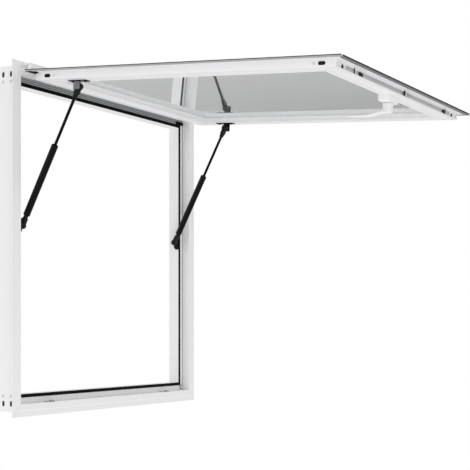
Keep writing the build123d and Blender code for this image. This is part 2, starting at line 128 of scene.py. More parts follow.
class FinishSettings(bpy.types.PropertyGroup):
    """Colours and grain of the finishes."""

    coat: colour("Powder coat", "White of the frame, the leaf and the handle", "F3F3F4")
    rubber: colour("Rubber", "Seals and edge trim", "030303")
    strip: colour("Side strips", "Grey under the lip's black rim at the sides", "AFB0B1")
    end_strip: colour("End strip", "Darker grey under the lip's black rim at the free end", "7C7D7E")
    glass: colour("Glass", "Tint of the reflective glass", "FAFBFC")
    steel: colour("Strut paint", "Struts, brackets and feet", "0D0D0E")
    rod: colour("Rod", "Nitrided strut rod", "1E1F20")
    nylon: colour("Sockets", "Moulded strut sockets", "101011")
    bar: colour("Lock bar", "Plain aluminium", "D2D3D4")
    zinc: colour("Keepers", "Zinc-plated keepers on the sill", "A4A6A8")
    cam: colour("Roller cams", "Dark zinc on the roller cams", "4E5052")
    gasket: colour("Glazing gasket", "Pale gasket round the glass", "EFF0F1")
    # A grey plate on each bracket tab paints the sheen of its black paint
    sheen_plate: colour("Bracket tab sheen", "Grey plates that paint the sheen of the bracket tabs", "7E8082")
    # The grey line in the jamb rebates' corners is painted shade
    corner_shade: colour("Corner shade", "Painted shade in the corner of the jamb rebates", "7E8082")
    vinyl: colour("Ribbed strip", "Grey PVC strip along the head", "A8AAAC")
    # The dark ground between the strip's ribs is painted shade
    groove: colour("Shade between the ribs", "Painted shade on the ground between the strip's ribs", "505254")
    screw: colour("Screws", "Bright zinc screw heads", "C9CACB")
    screw_paint: colour("Painted screws", "White screw heads on the frame and the leaf", "D6D7D8")
    # The same grey also paints the shade of the grooves on the leaf's inner face
    joint: colour("Joints", "Lines where two sections meet", "8E9092")
    # The real peel, pores and brush lines are too fine to show, so these are drawn coarser
    coat_grain: length("Coat grain", "Distance between the bumps of the powder coat", 2.5)
    joint_width: length("Joint width", "Width of the mitre lines", 0.25)
    rim_depth: length("Rim depth", "How far down the black of the trim reaches", 1.9)
    rubber_grain: length("Rubber grain", "Distance between the pores of the rubber", 1.5)
    brush_spacing: length("Brush lines", "Distance between the brush lines of the metal", 0.8)


class ScrewSettings(bpy.types.PropertyGroup):
    """Sizes of the screw heads."""

    frame_head: length("Frame screw head", "Head diameter of the screws through the jambs", 8.5)
    leaf_head: length("Leaf screw head", "Head diameter of the screws in the leaf", 7.5)
    small_head: length("Small screw head", "Head diameter of the lock's screws", 4.6)
    height_share: bpy.props.FloatProperty(
        name="Head height", description="Head height over head diameter", default=0.3,
        min=0.1, max=0.6, subtype="FACTOR",
    )
    seed: bpy.props.IntProperty(
        name="Turn seed", description="Seed for how far each screw was turned", default=4, min=0
    )


class SealSettings(bpy.types.PropertyGroup):
    """Sizes of the seals and their corner keys."""

    height: length("Seal height", "How far the bulb stands off the stop", 3.6)
    key_length: length("Corner key length", "Rubber keys in the rebate's corners", 43)
    key_height: length("Corner key height", "Width of the keys on the stop", 9)
    key_lift: length("Corner key lift", "How far the keys stand off the stop", 2.6)
    ribs: bpy.props.IntProperty(
        name="Ribs", description="Ribs of the strip along the head", default=3, min=2, max=12
    )


class InsertSettings(bpy.types.PropertyGroup):
    """Sizes of the drain slot rims, the plugs and the carriages."""

    slot_rim_length: length("Drain slot rim length", "Black rims that paint shade round the stiles' drain slots", 18.4)
    slot_rim_width: length("Drain slot rim width", "Black rims that paint shade round the stiles' drain slots", 9)
    plug_diameter: length("Plug diameter", "Plugs at the free rail's ends", 9.6)
    carriage_length: length("Carriage length", "Black carriage under each roller cam", 26)
    carriage_width: length("Carriage width", "Black carriage under each roller cam", 8.6)


class HandleSettings(bpy.types.PropertyGroup):
    """Sizes of the cast handle."""

    base_length: length("Base length", "Length of the handle's base", 80)
    base_width: length("Base width", "Width of the handle's base", 32)
    base_corner: bpy.props.FloatProperty(
        name="Base corner", description="How square the base's corners are", default=6, min=2, max=12
    )
    voxel: length("Casting grain", "Grid size of the melted lever", 0.9)


class StageSettings(bpy.types.PropertyGroup):
    """Studio round the window."""

    floor_drop: length("Floor drop", "Height of the window over the floor", 1000)
    floor_size: length("Floor size", "Side of the square floor", 30000)
    floor_tone: colour("Floor", "Pale floor", "F4F4F4")
    ambient: bpy.props.FloatProperty(
        name="Ambient", description="Level of the even studio light", default=0.72, min=0, max=2
    )
    mirrored: bpy.props.FloatProperty(
        name="Mirrored floor", description="Level of the floor as glass and metal mirror it", default=0.43,
        min=0, max=1,
    )
    front_power: bpy.props.FloatProperty(
        name="Front power", description="Power of the low lamp in front", default=22, min=0, unit="POWER"
    )
    fill_power: bpy.props.FloatProperty(
        name="Fill power", description="Power of the lamp under the window", default=16, min=0,
        unit="POWER",
    )
    key_power: bpy.props.FloatProperty(
        name="Key power", description="Power of the large soft lamp", default=24, min=0, unit="POWER"
    )


def round_ring(middle, u, v, wide, high, power=2, count=40):
    """Closed ring of points round a middle: an ellipse, squarer with a higher power."""
    ring = []
    for step in range(count):
        turn = 2 * math.pi * (step + 0.5) / count
        c, s = math.cos(turn), math.sin(turn)
        x = math.copysign(abs(c) ** (2 / power), c) * wide / 2
        y = math.copysign(abs(s) ** (2 / power), s) * high / 2
        ring.append(middle + u * x + v * y)
    return ring


def slot_ring(middle, u, v, long, wide, count=36):
    """Closed ring of points with straight sides and half-round ends."""
    ring = []
    for step in range(count):
        turn = 2 * math.pi * (step + 0.5) / count
        side = math.copysign((long - wide) / 2, math.cos(turn))
        ring.append(middle + u * (side + math.cos(turn) * wide / 2) + v * math.sin(turn) * wide / 2)
    return ring


def slab(middle, way, lifts, u, v, long, wide, power=8):
    """Rings of a flat piece with soft corners, one at each lift along its way."""
    return [round_ring(middle + way * lift, u, v, long, wide, power, 32) for lift in lifts]


def new_object(name, data):
    """Object with its mesh, lamp or lens, linked to the scene."""
    made = bpy.data.objects.new(name, data)
    bpy.context.scene.collection.objects.link(made)
    return made


def skinned(name, runs, finish, body, sharp=40, bored=False):
    """One closed mesh for each list of rings, all in one piece that rides on a body.

    The ends are capped, or joined to each other where the piece is bored."""
    corners, faces = [], []
    for rings in runs:
        count, base = len(rings[0]), len(corners)
        for number, ring in enumerate(rings):
            corners += ring
            start = base + number * count
            if number:
                faces += band(start - count, start, count)
        if bored:
            faces += band(start, base, count)
        else:
            faces += [tuple(range(base, base + count)), tuple(range(start, start + count))]
    mesh = bpy.data.meshes.new(name)
    mesh.from_pydata(corners, [], faces)
    form = bmesh.new()
    form.from_mesh(mesh)
    bmesh.ops.recalc_face_normals(form, faces=form.faces)
    form.to_mesh(mesh)
    form.free()
    mesh.shade_smooth()
    mesh.set_sharp_from_angle(angle=math.radians(sharp))
    mesh.materials.append(finish)
    made = new_object(name, mesh)
    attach(made, body)
    return made


def band(first, second, count):
    """Faces between two rings of corners, from the numbers of their first ones."""
    pairs = [(i, (i + 1) % count) for i in range(count)]
    return [(first + i, first + j, second + j, second + i) for i, j in pairs]


def turned(start, way, profile, count=36):
    """Rings of a turned piece: pairs of distance along the axis and radius."""
    u = way.orthogonal().normalized()
    v = way.cross(u)
    return [round_ring(start + way * far, u, v, 2 * r, 2 * r, count=count) for far, r in profile]


def in_mm(profile):
    """Profile that is drawn in millimetres, in metres."""
    return [(far * MM, radius * MM) for far, radius in profile]


def applied(made):
    """Keep what an object's modifiers give as its plain mesh."""
    bpy.context.view_layer.update()
    evaluated = made.evaluated_get(bpy.context.evaluated_depsgraph_get())
    mesh = bpy.data.meshes.new_from_object(evaluated)
    made.modifiers.clear()
    made.data = mesh
    mesh.name = made.name
    return made


def fused(made, voxel, rounds):
    """Melt the overlapping forms of a piece into one smooth casting."""
    melt = made.modifiers.new("Melt", "REMESH")
    melt.mode = "VOXEL"
    melt.voxel_size = voxel
    melt.use_smooth_shade = True
    soften = made.modifiers.new("Soften", "SMOOTH")
    soften.iterations = rounds
    return applied(made)


def add_node(tree, kind, inputs=None, **settings):
    """Add a node with its settings, and fill its inputs with values or links."""
    made = tree.nodes.new(kind)
    for key, value in settings.items():
        setattr(made, key, value)
    for key, value in (inputs or {}).items():
        if isinstance(value, bpy.types.NodeSocket):
            tree.links.new(value, made.inputs[key])
        else:
            made.inputs[key].default_value = value
    return made


def start_material(name):
    """Empty material, its Principled shader linked to the output, and Object coordinates."""
    made = bpy.data.materials.new(name)
    made.use_nodes = True
    made.node_tree.nodes.clear()
    tree = made.node_tree
    shader = add_node(tree, "ShaderNodeBsdfPrincipled")
    add_node(tree, "ShaderNodeOutputMaterial", {"Surface": shader.outputs["BSDF"]})
    place = add_node(tree, "ShaderNodeTexCoord").outputs["Object"]
    return made, tree, shader, place


def shades(tree, factor, tone, spread):
    """Colour between two shades of a tone, by a factor."""
    ramp = add_node(tree, "ShaderNodeValToRGB", {"Fac": factor})
    for stop, share in zip(ramp.color_ramp.elements, (1 - spread, 1 + spread)):
        stop.color = [min(1, c * share) for c in tone] + [1]
    return ramp.outputs["Color"]


def dress(made, shader, tint, wear, bump, values):
    """Link a finish: its colour, roughness (factor, least, most) and bump, and set its values."""
    tree = made.node_tree
    factor, least, most = wear
    rough = add_node(tree, "ShaderNodeMapRange", {"Value": factor, "To Min": least, "To Max": most})
    relief = add_node(tree, "ShaderNodeBump", bump)
    tree.links.new(tint, shader.inputs["Base Color"])
    tree.links.new(rough.outputs["Result"], shader.inputs["Roughness"])
    tree.links.new(relief.outputs["Normal"], shader.inputs["Normal"])
    for name, value in values.items():
        shader.inputs[name].default_value = value
    return made


def powder_coat(name, tone, grain, rough):
    """Polyester powder coat on aluminium: a satin white with a faint orange peel."""
    made, tree, shader, place = start_material(name)
    peel = add_node(
        tree, "ShaderNodeTexNoise", {"Vector": place, "Scale": 1 / grain, "Detail": 2, "Roughness": 0.4}
    )
    cloud = add_node(tree, "ShaderNodeTexNoise", {"Vector": place, "Scale": 1 / (180 * MM), "Detail": 3})
    return dress(
        made, shader, shades(tree, cloud.outputs["Fac"], tone, 0.012),
        (cloud.outputs["Fac"], rough - 0.05, rough + 0.05),
        {"Height": peel.outputs["Fac"], "Strength": 0.12, "Distance": 0.05 * MM},
        {"IOR": 1.5},
    )


def rubber_skin(name, tone, grain, rough):
    """Extruded rubber: matte, with fine pores and paler scuffs."""
    made, tree, shader, place = start_material(name)
    pores = add_node(tree, "ShaderNodeTexVoronoi", {"Vector": place, "Scale": 1 / grain})
    scuffs = add_node(tree, "ShaderNodeTexNoise", {"Vector": place, "Scale": 1 / (14 * MM), "Detail": 4})
    return dress(
        made, shader, shades(tree, scuffs.outputs["Fac"], tone, 0.22),
        (scuffs.outputs["Fac"], rough - 0.08, rough + 0.08),
        {"Height": pores.outputs["Distance"], "Strength": 0.2, "Distance": 0.08 * MM},
        {"IOR": 1.52, "Specular IOR Level": 0.05},
    )


def trim_rubber(name, rim_tone, strip_tone, grain, rim):
    """Edge trim of the lip: black rubber down to the rim's depth, and grey under it."""
    made, tree, shader, place = start_material(name)
    pores = add_node(tree, "ShaderNodeTexVoronoi", {"Vector": place, "Scale": 1 / grain})
    worn = add_node(tree, "ShaderNodeTexNoise", {"Vector": place, "Scale": 1 / (30 * MM), "Detail": 4})
    up = add_node(
        tree, "ShaderNodeVectorMath", {0: place, 1: tuple(skin_normal)}, operation="DOT_PRODUCT"
    )
    skin = leaf_reach("lip_gasket_top_rail")[3] + hinge_axis.dot(skin_normal)
    edge = add_node(
        tree, "ShaderNodeMath", {0: up.outputs["Value"], 1: skin - rim}, operation="GREATER_THAN"
    )
    strip, black = (shades(tree, worn.outputs["Fac"], tone, 0.15) for tone in (strip_tone, rim_tone))
    # The Mix node's colours are its inputs 6 and 7 and its output 2
    mix = add_node(
        tree, "ShaderNodeMix", {0: edge.outputs["Value"], 6: strip, 7: black}, data_type="RGBA"
    )
    return dress(
        made, shader, mix.outputs[2], (worn.outputs["Fac"], 0.55, 0.8),
        {"Height": pores.outputs["Distance"], "Strength": 0.25, "Distance": 0.1 * MM},
        {"Specular IOR Level": 0.2},
    )


def reflective_glass(name, tone):
    """Grey float glass with a reflective coat: mirrors at a low angle, see-through head on."""
    made, tree, shader, place = start_material(name)
    roll = add_node(tree, "ShaderNodeTexNoise", {"Vector": place, "Scale": 1 / (260 * MM), "Detail": 1})
    film = add_node(tree, "ShaderNodeTexNoise", {"Vector": place, "Scale": 1 / (45 * MM), "Detail": 3})
    return dress(
        made, shader, shades(tree, film.outputs["Fac"], tone, 0.015), (film.outputs["Fac"], 0.015, 0.04),
        {"Height": roll.outputs["Fac"], "Strength": 0.1, "Distance": 0.3 * MM},
        {"Metallic": 0.68, "Transmission Weight": 1, "IOR": 1.52},
    )


def painted_steel(name, tone, grain, rough):
    """Baked enamel on steel: glossy black with a light peel and softer worn patches."""
    made, tree, shader, place = start_material(name)
    peel = add_node(tree, "ShaderNodeTexNoise", {"Vector": place, "Scale": 1 / grain, "Detail": 2})
    wear = add_node(tree, "ShaderNodeTexNoise", {"Vector": place, "Scale": 1 / (22 * MM), "Detail": 5})
    return dress(
        made, shader, shades(tree, wear.outputs["Fac"], tone, 0.15),
        (wear.outputs["Fac"], rough - 0.07, rough + 0.1),
        {"Height": peel.outputs["Fac"], "Strength": 0.1, "Distance": 0.05 * MM},
        {"IOR": 1.5, "Specular IOR Level": 0.16},
    )


def brushed_metal(name, tone, spacing, rough, stretch):
    """Bare metal with lines of its drawing or brushing, long along the given axes."""
    made, tree, shader, place = start_material(name)
    drawn_out = 0.02
    scale = [drawn_out if long else 1 for long in stretch]
    lined = add_node(tree, "ShaderNodeMapping", {"Vector": place, "Scale": scale})
    lines = add_node(
        tree, "ShaderNodeTexNoise", {"Vector": lined.outputs["Vector"], "Scale": 1 / spacing, "Detail": 3}
    )
    return dress(
        made, shader, shades(tree, lines.outputs["Fac"], tone, 0.06),
        (lines.outputs["Fac"], rough - 0.06, rough + 0.1),
        {"Height": lines.outputs["Fac"], "Strength": 0.15, "Distance": 0.04 * MM},
        {"Metallic": 1},
    )


def moulded_nylon(name, tone, grain):
    """Glass-filled nylon: dull black with a fine spark-eroded grain."""
    made, tree, shader, place = start_material(name)
    grains = add_node(tree, "ShaderNodeTexNoise", {"Vector": place, "Scale": 1 / grain, "Detail": 4})
    return dress(
        made, shader, shades(tree, grains.outputs["Fac"], tone, 0.1), (grains.outputs["Fac"], 0.48, 0.62),
        {"Height": grains.outputs["Fac"], "Strength": 0.3, "Distance": 0.1 * MM},
        {"IOR": 1.53, "Specular IOR Level": 0.25},
    )


def drawn_vinyl(name, tone):
    """Extruded PVC: satin grey with draw lines along it, coarser than real ones, and dusty patches."""
    made, tree, shader, place = start_material(name)
    drawn_out, spacing = 0.01, 1.2 * MM
    lined = add_node(tree, "ShaderNodeMapping", {"Vector": place, "Scale": (drawn_out, 1, 1)})
    lines = add_node(
        tree, "ShaderNodeTexNoise", {"Vector": lined.outputs["Vector"], "Scale": 1 / spacing, "Detail": 3}
    )
    dust = add_node(tree, "ShaderNodeTexNoise", {"Vector": place, "Scale": 1 / (60 * MM), "Detail": 4})
    return dress(
        made, shader, shades(tree, lines.outputs["Fac"], tone, 0.12), (dust.outputs["Fac"], 0.4, 0.6),
        {"Height": lines.outputs["Fac"], "Strength": 0.15, "Distance": 0.05 * MM},
        {"IOR": 1.53},
    )


class WINDOW_OT_finishes(bpy.types.Operator):
    """Give every solid its finish"""

    bl_idname = "window.finishes"
    bl_label = "Finishes"

    def execute(self, context):
        look = context.scene.window_finish
        coat, pore, brush = look.coat_grain, look.rubber_grain, look.brush_spacing
        lengthwise, upright = (1, 0, 0), (0, 1, 1)
        made = {
            "white_aluminium": powder_coat("Satin powder coat", look.coat, coat, 0.38),
            "white_hinge": powder_coat("Powder-coated hinge", look.coat, coat, 0.34),
            "white_handle": powder_coat("Powder-coated handle", look.coat, coat, 0.3),
            "black_rubber": rubber_skin("EPDM seal", look.rubber, pore, 0.55),
            "grey_rubber": trim_rubber("Trim on the sides", look.rubber, look.strip, pore, look.rim_depth),
            "light_rubber": rubber_skin("Glazing gasket", look.gasket, pore, 0.5),
            "tinted_glass": reflective_glass("Reflective float glass", look.glass),
            "black_steel": painted_steel("Baked enamel on steel", look.steel, coat, 0.18),
            "black_rod": brushed_metal("Nitrided steel rod", look.rod, brush, 0.22, upright),
            "black_plastic": moulded_nylon("Glass-filled nylon", look.nylon, pore),
            "lock_aluminium": brushed_metal("Drawn aluminium", look.bar, brush, 0.36, lengthwise),
            "zinc_steel": brushed_metal("Zinc-plated steel", look.zinc, brush, 0.36, lengthwise),
            "dark_steel": brushed_metal("Dark zinc on steel", look.cam, brush, 0.4, lengthwise),
        }
        for part in frame["record"]["subparts"]:
            mesh = cad[part["node"]].data
            mesh.materials.clear()
            mesh.materials.append(made[part["material_slot"]])
        # At the free end the grey under the lip is darker than at the sides, and the black reaches further down
        end_rim = 1.8 * look.rim_depth
        end_trim = trim_rubber("Trim on the free end", look.rubber, look.end_strip, pore, end_rim)
        cad["lip_gasket_bottom_rail"].data.materials[0] = end_trim
        cad["lip_gasket_top_rail"].data.materials[0] = made["black_rubber"]
        return {"FINISHED"}


def open_tree(name, inputs, output):
    """Start a geometry tree, and give it with the sockets of its inputs."""
    tree = bpy.data.node_groups.new(name, "GeometryNodeTree")
    for key, kind in inputs.items():
        tree.interface.new_socket(key, in_out="INPUT", socket_type=f"NodeSocket{kind}")
    tree.interface.new_socket(output, in_out="OUTPUT", socket_type="NodeSocketGeometry")
    return tree, add_node(tree, "NodeGroupInput").outputs


def close_tree(tree, instances, finish):
    """End a geometry tree: make its instances real and give them their finish."""
    real = add_node(tree, "GeometryNodeRealizeInstances", {"Geometry": instances})
    done = add_node(
        tree, "GeometryNodeSetMaterial", {"Geometry": real.outputs["Geometry"], "Material": finish}
    )
    add_node(tree, "NodeGroupOutput", {0: done.outputs["Geometry"]})
    return tree


def pan_head_tree():
    """Geometry tree: a cross-recess pan head on every point, along the facing attribute."""
    tree, given = open_tree(
        "Pan head screws",
        {
            "Places": "Geometry", "Head Diameter": "Float", "Head Height": "Float", "Turn Seed": "Int",
            "Finish": "Material",
        },
        "Screws",
    )
    diameter, height = given["Head Diameter"], given["Head Height"]
    shares = {
        "radius": (diameter, 0.5), "narrow": (diameter, 0.13), "deep": (height, 1.1),
        "broad": (diameter, 3), "thick": (height, 2), "under": (height, -1.05),
    }
    sizes = {}
    for name, (whole, share) in shares.items():
        part = add_node(tree, "ShaderNodeMath", {0: whole, 1: share}, operation="MULTIPLY")
        sizes[name] = part.outputs["Value"]
    ball = add_node(
        tree, "GeometryNodeMeshUVSphere", {"Segments": 20, "Rings": 12, "Radius": sizes["radius"]}
    )
    flat = add_node(tree, "ShaderNodeMath", {0: height, 1: sizes["radius"]}, operation="DIVIDE")
    squeeze = add_node(tree, "ShaderNodeCombineXYZ", {"X": 1.0, "Y": 1.0, "Z": flat.outputs["Value"]})
    dome = add_node(
        tree, "GeometryNodeTransform", {"Geometry": ball.outputs["Mesh"], "Scale": squeeze.outputs[0]}
    )
    # What is cut off the dome: its lower half, and the two bars of the cross in its top
    blocks = (
        (sizes["broad"], sizes["broad"], sizes["thick"], sizes["under"]),
        (sizes["radius"], sizes["narrow"], sizes["deep"], height),
        (sizes["narrow"], sizes["radius"], sizes["deep"], height),
    )
    cutter = add_node(tree, "GeometryNodeJoinGeometry")
    for x, y, z, level in blocks:
        size = add_node(tree, "ShaderNodeCombineXYZ", {"X": x, "Y": y, "Z": z})
        shift = add_node(tree, "ShaderNodeCombineXYZ", {"Z": level})
        cube = add_node(tree, "GeometryNodeMeshCube", {"Size": size.outputs[0]})
        moved = add_node(
            tree, "GeometryNodeTransform",
            {"Geometry": cube.outputs["Mesh"], "Translation": shift.outputs[0]},
        )
        tree.links.new(moved.outputs["Geometry"], cutter.inputs[0])
    head = add_node(tree, "GeometryNodeMeshBoolean", operation="DIFFERENCE")
    tree.links.new(dome.outputs["Geometry"], head.inputs["Mesh 1"])
    tree.links.new(cutter.outputs[0], head.inputs["Mesh 2"])
    facing = add_node(
        tree, "GeometryNodeInputNamedAttribute", {"Name": "facing"}, data_type="FLOAT_VECTOR"
    )
    upright = add_node(
        tree, "FunctionNodeAlignRotationToVector", {"Vector": facing.outputs["Attribute"]}, axis="Z"
    )
    turn = add_node(
        tree, "FunctionNodeRandomValue",
        {"Min": (0, 0, 0), "Max": (0, 0, math.pi), "Seed": given["Turn Seed"]},
        data_type="FLOAT_VECTOR",
    )
    twisted = add_node(
        tree, "FunctionNodeRotateRotation",
        {"Rotation": upright.outputs["Rotation"], "Rotate By": turn.outputs["Value"]},
        rotation_space="LOCAL",
    )
    seated = add_node(
        tree, "GeometryNodeInstanceOnPoints",
        {
            "Points": given["Places"],
            "Instance": head.outputs["Mesh"],
            "Rotation": twisted.outputs["Rotation"],
        },
    )
    return close_tree(tree, seated.outputs["Instances"], given["Finish"])


def on_leaf(x, along, up):
    """Point of the leaf from the hinge axis, in metres: across, out along the leaf, up off the skin."""
    return hinge_axis + across * x + outward * along + skin_normal * up


def on_frame(side, inset, y, along):
    """Point of a frame side: in from its outer edge, towards the room, and along it from its middle."""
    inward, run = FRAME_SIDES[side]
    return frame_middle - inward * (half_frame - inset) + inside * y + run * along


def leaf_reach(node):
    """Least and most of a leaf node along the leaf and up off it, from the hinge axis."""
    along = [(v.co - hinge_axis).dot(outward) for v in cad[node].data.vertices]
    up = [(v.co - hinge_axis).dot(skin_normal) for v in cad[node].data.vertices]
    return min(along), max(along), min(up), max(up)


def box_middle(node):
    """Middle of a node's box."""
    low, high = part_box(node)
    return (low + high) / 2


def foot_face(side, way):
    """Middle of a strut foot's face."""
    thick = 2.5 * MM
    middle = box_middle(f"strut_foot_{side}")
    middle.x = way * (half_frame - reveal_inset - thick)
    return middle


def mitred(side, section):
    """Rings of a strip on a frame side's stop, mitred at its ends: pairs of inset and lift."""
    return [
        [on_frame(side, inset, stop_front - lift, end * (half_frame - inset)) for inset, lift in section]
        for end in (-1, 1)
    ]


class WINDOW_OT_seals(bpy.types.Operator):
    """Replace the frame seals by bulb seals, with their corner keys"""

    bl_idname = "window.seals"
    bl_label = "Seals"

    def execute(self, context):
        sizes = context.scene.window_seal
        look = context.scene.window_finish
        rubber, pale = bpy.data.materials["EPDM seal"], bpy.data.materials["Glazing gasket"]
        corner_shade = rubber_skin("Painted corner shade", look.corner_shade, look.rubber_grain, 0.6)
        for side in FRAME_SIDES:
            bulb = skinned(f"bulb_seal_{side}", [self.bulb(side, sizes.height)], rubber, "window_frame")
            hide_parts(f"frame_seal_{side}")
        skinned("head_corner_keys", self.corner_keys(sizes), rubber, "window_frame")
        skinned("sill_plug_frames", self.sill_plugs(15 * MM, 1.0 * MM), rubber, "window_frame")
        skinned("sill_plugs", self.sill_plugs(12 * MM, 2.2 * MM), pale, "window_frame")

        # A thin grey strip in each jamb rebate's inner corner, painted shade where the stop meets the rebate
        bead_start, bead_end, bead_lift, root = 32.9 * MM, 34.6 * MM, 0.35 * MM, -0.1 * MM
        bead = ((bead_start, root), (bead_start, bead_lift), (bead_end, bead_lift), (bead_end, root))
        beads = [mitred(f"jamb_{side}", bead) for side, _ in SIDES]
        skinned("jamb_rebate_shade_lines", beads, corner_shade, "window_frame")
        skinned("hinge_corner_pads", self.corner_pads(), rubber, "leaf")
        return {"FINISHED"}

    def bulb(self, side, top):
        """Rings of a bulb seal on its flat foot."""
        foot = 1.4 * MM
        section = (
            (0, 0), (0, foot), (0.12, foot), (0.2, 0.7 * top), (0.38, top), (0.6, top),
            (0.8, 0.72 * top), (0.9, foot), (1, foot), (1, 0),
        )
        return mitred(side, [(reveal_inset - seal_width * (1 - share), up) for share, up in section])

    def corner_keys(self, sizes):
        """Rings of the keys at the head's ends, the left one shorter."""
        inset = reveal_inset - seal_width - sizes.key_height / 2
        keys = []
        for way, share in ((-1, 0.6), (1, 1)):
            long = share * sizes.key_length
            middle = on_frame("head", inset, stop_front, way * (half_frame - face_inset - long / 2))
            lifts = (0, sizes.key_lift)
            keys.append(slab(middle, -inside, lifts, across, upward, long, sizes.key_height))
        return keys

    def sill_plugs(self, long, lift):
        """Rings of the plugs at the sill's ends, 3 mm less high than long."""
        inset, from_corner, less = 42 * MM, 8 * MM, 3 * MM
        reach = half_frame - face_inset - from_corner
        return [
            slab(
                on_frame("sill", inset, stop_front, way * reach), -inside, (0, lift), across, upward,
                long, long - less,
            )
            for _, way in SIDES
        ]

    def corner_pads(self):
        """Rings of the pads under the lip's corners beside the hinge."""
        inset, along, levels = 22 * MM, 22.5 * MM, (-15.6 * MM, -18 * MM)
        long, wide = 31 * MM, 20 * MM
        return [
            slab(
                on_leaf(way * (half_frame - inset), along, 0), skin_normal, levels, across, outward,
                long, wide,
            )
            for _, way in SIDES
        ]


def ribbed_tree():
    """Geometry tree: a round rib across the window on every point."""
    tree, given = open_tree(
        "Ribbed strip",
        {"Places": "Geometry", "Strip Length": "Float", "Rib Diameter": "Float", "Finish": "Material"},
        "Strip",
    )
    radius = add_node(tree, "ShaderNodeMath", {0: given["Rib Diameter"], 1: 0.5}, operation="MULTIPLY")
    rod = add_node(
        tree, "GeometryNodeMeshCylinder",
        {"Vertices": 12, "Radius": radius.outputs["Value"], "Depth": given["Strip Length"]},
    )
    lying = add_node(
        tree, "GeometryNodeTransform", {"Geometry": rod.outputs["Mesh"], "Rotation": (0, math.pi / 2, 0)}
    )
    ribs = add_node(
        tree, "GeometryNodeInstanceOnPoints",
        {"Points": given["Places"], "Instance": lying.outputs["Geometry"]},
    )
    return close_tree(tree, ribs.outputs["Instances"], given["Finish"])


def places_at(name, points):
    """Object with a loose point at each place, for a geometry tree."""
    mesh = bpy.data.meshes.new(name)
    mesh.from_pydata(points, [], [])
    return new_object(name, mesh)


def settle(made, tree, settings, body):
    """Run a geometry tree on an object and keep the result as its plain mesh."""
    modifier = made.modifiers.new(tree.name, "NODES")
    modifier.node_group = tree
    for socket in tree.interface.items_tree:
        if socket.in_out == "INPUT" and socket.name in settings:
            modifier[socket.identifier] = settings[socket.name]
    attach(applied(made), body)


class WINDOW_OT_head_strip(bpy.types.Operator):
    """Lay the ribbed strip over the hinge side's stop"""

    bl_idname = "window.head_strip"
    bl_label = "Head strip"

    def execute(self, context):
        look = context.scene.window_finish
        rib_lift, rib_share, rib_gap = 0.6 * MM, 0.6, 33.3 * MM
        web_lift, root, web_gap = 0.7 * MM, -0.2 * MM, 33.2 * MM
        start, end = face_inset, reveal_inset - seal_width
        count = context.scene.window_seal.ribs
        step = (end - start) / count
        insets = [start + (number + 0.5) * step for number in range(count)]
        points = [on_frame("head", inset, stop_front - rib_lift, 0) for inset in insets]
        settings = {
            "Strip Length": 2 * (half_frame - rib_gap),
            "Rib Diameter": rib_share * step,
            "Finish": drawn_vinyl("Ribbed PVC strip", look.vinyl),
        }
        settle(places_at("head_strip", points), ribbed_tree(), settings, "window_frame")
        section = ((start, root), (start, web_lift), (end, web_lift), (end, root))
        web = [
            [on_frame("head", inset, stop_front - up, way * (half_frame - web_gap)) for inset, up in section]
            for _, way in SIDES
        ]
        # The web under the ribs is painted dark: painted shade between the ribs
        skinned("head_strip_web", [web], drawn_vinyl("PVC ground with painted shade", look.groove), "window_frame")
        return {"FINISHED"}


